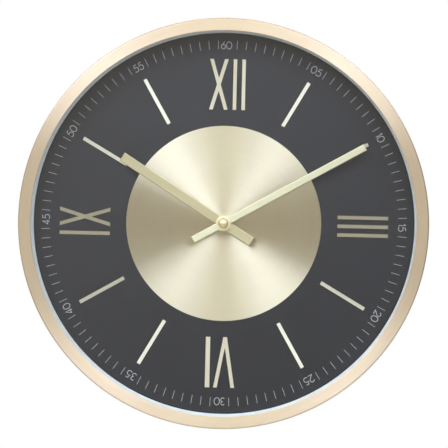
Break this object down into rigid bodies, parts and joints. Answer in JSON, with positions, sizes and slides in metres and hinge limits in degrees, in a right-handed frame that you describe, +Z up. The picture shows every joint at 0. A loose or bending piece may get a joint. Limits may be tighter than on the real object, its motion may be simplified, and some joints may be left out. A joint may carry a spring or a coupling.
{
  "type": "wall clock",
  "caption": "Round wall clock: brushed gold rim, flat glass, charcoal dial with applied Roman numerals and batons, square-ended hands and a battery quartz movement.",
  "frame": {"origin": "on the wall, straight behind the bearing edge at the top of the keyhole slot that the clock hangs by", "axes": "+Z up along the wall towards twelve, +X to the right as seen from the front, +Y into the wall; the dial faces -Y and the hands turn about a line along Y, 112 mm below the origin"},
  "size_m": [0.3, 0.042, 0.3],
  "materials": {
    "rim_gold": "circularly brushed, gold anodised",
    "case_black": "fine-textured black moulding",
    "clear_glass": "polished flat mineral glass",
    "ring_silver": "satin silver",
    "dial_charcoal": "satin charcoal lacquer",
    "disc_champagne": "spun-brushed champagne anodised",
    "marker_champagne": "circularly brushed champagne anodised",
    "hand_gold": "brushed along its length, pale gold",
    "brass": "turned",
    "steel": "zinc plated",
    "nickel_strip": "nickel-plated spring strip",
    "white_acetal": "natural moulded acetal",
    "red_acetal": "red moulded acetal",
    "rubber": "matt",
    "board_green": "solder-masked glass-fibre board",
    "copper": "enamelled copper wire, wound",
    "magnet": "sintered, ground",
    "cell_jacket": "plain printed jacket, no markings"
  },
  "bodies": {
    "root": {"front_bezel": "rim_gold", "case_ring": "case_black", "glass_lens": "clear_glass", "rehaut_ring": "ring_silver", "dial_plate": "dial_charcoal", "centre_disc": "disc_champagne", "back_cover": "case_black", "movement_front_case": "case_black", "movement_rear_case": "case_black", "train_plate": "white_acetal", "rubber_washer": "rubber", "fixing_nut": "brass", "stator_plate": "steel", "coil_core": "steel", "coil_bobbin": "white_acetal", "coil_winding": "copper", "circuit_board": "board_green", "quartz_crystal": "nickel_strip", "chip_cover": "case_black", "battery_cell": "cell_jacket", "battery_contact_positive": "nickel_strip", "battery_contact_negative": "nickel_strip", "back_cover_screw_1": "steel", "back_cover_screw_2": "steel", "back_cover_screw_3": "steel", "back_cover_screw_4": "steel", "numeral_xii_x": "marker_champagne", "numeral_xii_i_1": "marker_champagne", "numeral_xii_i_2": "marker_champagne", "numeral_iii_i_1": "marker_champagne", "numeral_iii_i_2": "marker_champagne", "numeral_iii_i_3": "marker_champagne", "numeral_vi_v": "marker_champagne", "numeral_vi_i": "marker_champagne", "numeral_ix_i": "marker_champagne", "numeral_ix_x": "marker_champagne", "baton_01": "marker_champagne", "baton_02": "marker_champagne", "baton_04": "marker_champagne", "baton_05": "marker_champagne", "baton_07": "marker_champagne", "baton_08": "marker_champagne", "baton_10": "marker_champagne", "baton_11": "marker_champagne"},
    "minute_hand_body": {"minute_arbor": "brass", "minute_hand": "hand_gold", "cap_nut": "brass"},
    "hour_hand_body": {"hour_wheel": "white_acetal", "hour_hand": "hand_gold"},
    "minute_wheel_body": {"minute_wheel": "white_acetal"},
    "setting_body": {"setting_wheel": "white_acetal", "set_knob": "red_acetal"},
    "fifth_wheel_body": {"fifth_wheel": "white_acetal"},
    "rotor_body": {"rotor_pinion": "red_acetal", "rotor_magnet": "magnet"},
    "seconds_wheel_body": {"seconds_wheel": "white_acetal"},
    "third_wheel_body": {"third_wheel": "white_acetal"},
    "centre_wheel_body": {"centre_wheel": "white_acetal"}
  },
  "joints": [
    {"name": "minute_hand_turn", "type": "hinge", "parent": "root", "child": "minute_hand_body", "pos_m": [0, -0.025, -0.112], "axis": [0, 1, 0], "continuous": true},
    {"name": "hour_hand_turn", "type": "hinge", "parent": "root", "child": "hour_hand_body", "pos_m": [0, -0.025, -0.112], "axis": [0, 1, 0], "continuous": true},
    {"name": "minute_wheel_turn", "type": "hinge", "parent": "root", "child": "minute_wheel_body", "pos_m": [0.0096, -0.0185, -0.112], "axis": [0, 1, 0], "continuous": true},
    {"name": "set_knob_turn", "type": "hinge", "parent": "root", "child": "setting_body", "pos_m": [0.01791, -0.012, -0.1072], "axis": [0, 1, 0], "continuous": true},
    {"name": "fifth_wheel_turn", "type": "hinge", "parent": "root", "child": "fifth_wheel_body", "pos_m": [0.00462, -0.0092, -0.104], "axis": [0, 1, 0], "continuous": true},
    {"name": "rotor_turn", "type": "hinge", "parent": "root", "child": "rotor_body", "pos_m": [0.00587, -0.01, -0.09691], "axis": [0, 1, 0], "continuous": true},
    {"name": "seconds_wheel_turn", "type": "hinge", "parent": "root", "child": "seconds_wheel_body", "pos_m": [0, -0.011, -0.112], "axis": [0, 1, 0], "continuous": true},
    {"name": "third_wheel_turn", "type": "hinge", "parent": "root", "child": "third_wheel_body", "pos_m": [-0.00918, -0.0128, -0.112], "axis": [0, 1, 0], "continuous": true},
    {"name": "centre_wheel_turn", "type": "hinge", "parent": "root", "child": "centre_wheel_body", "pos_m": [0, -0.0146, -0.112], "axis": [0, 1, 0], "continuous": true}
  ],
  "couplings": [
    {"joint": "hour_hand_turn", "follows": "minute_hand_turn", "ratio": 0.083333},
    {"joint": "minute_wheel_turn", "follows": "minute_hand_turn", "ratio": -0.33333},
    {"joint": "set_knob_turn", "follows": "minute_hand_turn", "ratio": 1},
    {"joint": "rotor_turn", "follows": "fifth_wheel_turn", "ratio": -5},
    {"joint": "seconds_wheel_turn", "follows": "fifth_wheel_turn", "ratio": -0.16667},
    {"joint": "third_wheel_turn", "follows": "fifth_wheel_turn", "ratio": 0.022222},
    {"joint": "centre_wheel_turn", "follows": "fifth_wheel_turn", "ratio": -0.0027778}
  ]
}
